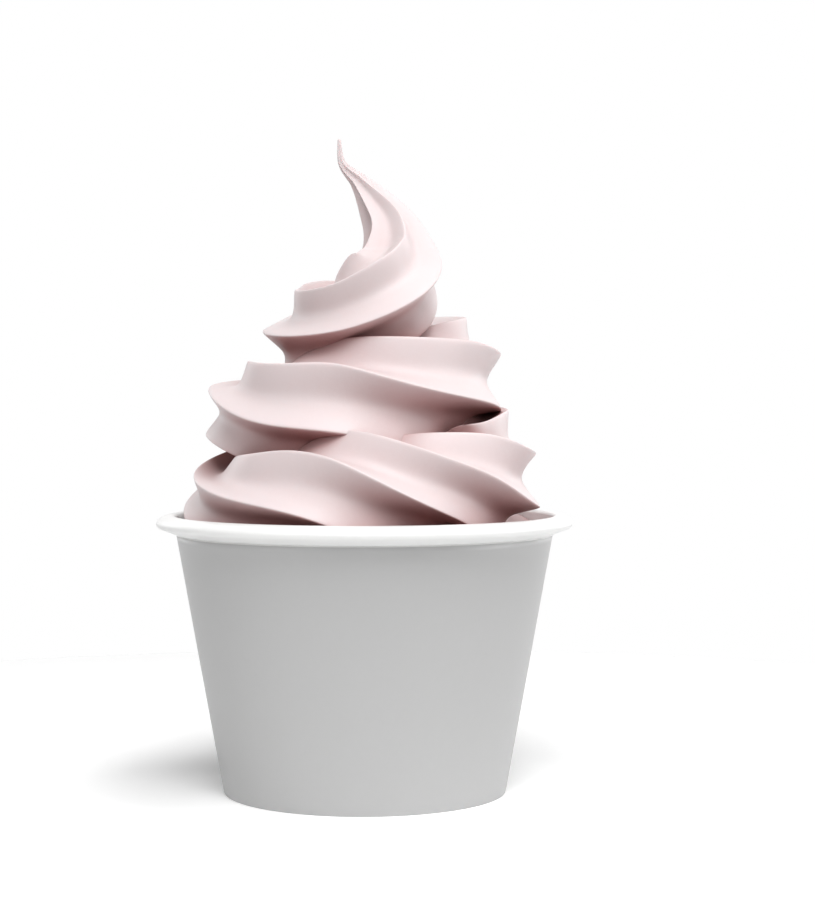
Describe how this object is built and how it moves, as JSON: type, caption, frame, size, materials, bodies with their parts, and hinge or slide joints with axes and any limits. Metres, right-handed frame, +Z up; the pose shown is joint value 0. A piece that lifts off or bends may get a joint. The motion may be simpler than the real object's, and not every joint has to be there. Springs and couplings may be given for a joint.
{
  "type": "frozen yogurt cup",
  "caption": "Tapered paper cup with a rolled rim and recessed base, filled with a star-piped swirl of frozen yogurt that rises to a curled tip.",
  "frame": {"origin": "on the cup's axis, in the plane of the foot ring that it stands on", "axes": "+Z up along the cup's axis, +X to the right and -Y towards the viewer, the tip of the swirl leaning to -X"},
  "size_m": [0.095, 0.095, 0.1499],
  "materials": {
    "cup_paper": "smooth coated paperboard, satin",
    "base_paper": "smooth coated paperboard, matt",
    "frozen_yogurt": "frozen yogurt, smooth and softly satin"
  },
  "bodies": {
    "root": {"cup_wall": "cup_paper", "cup_base": "base_paper", "yogurt": "frozen_yogurt"}
  },
  "joints": []
}
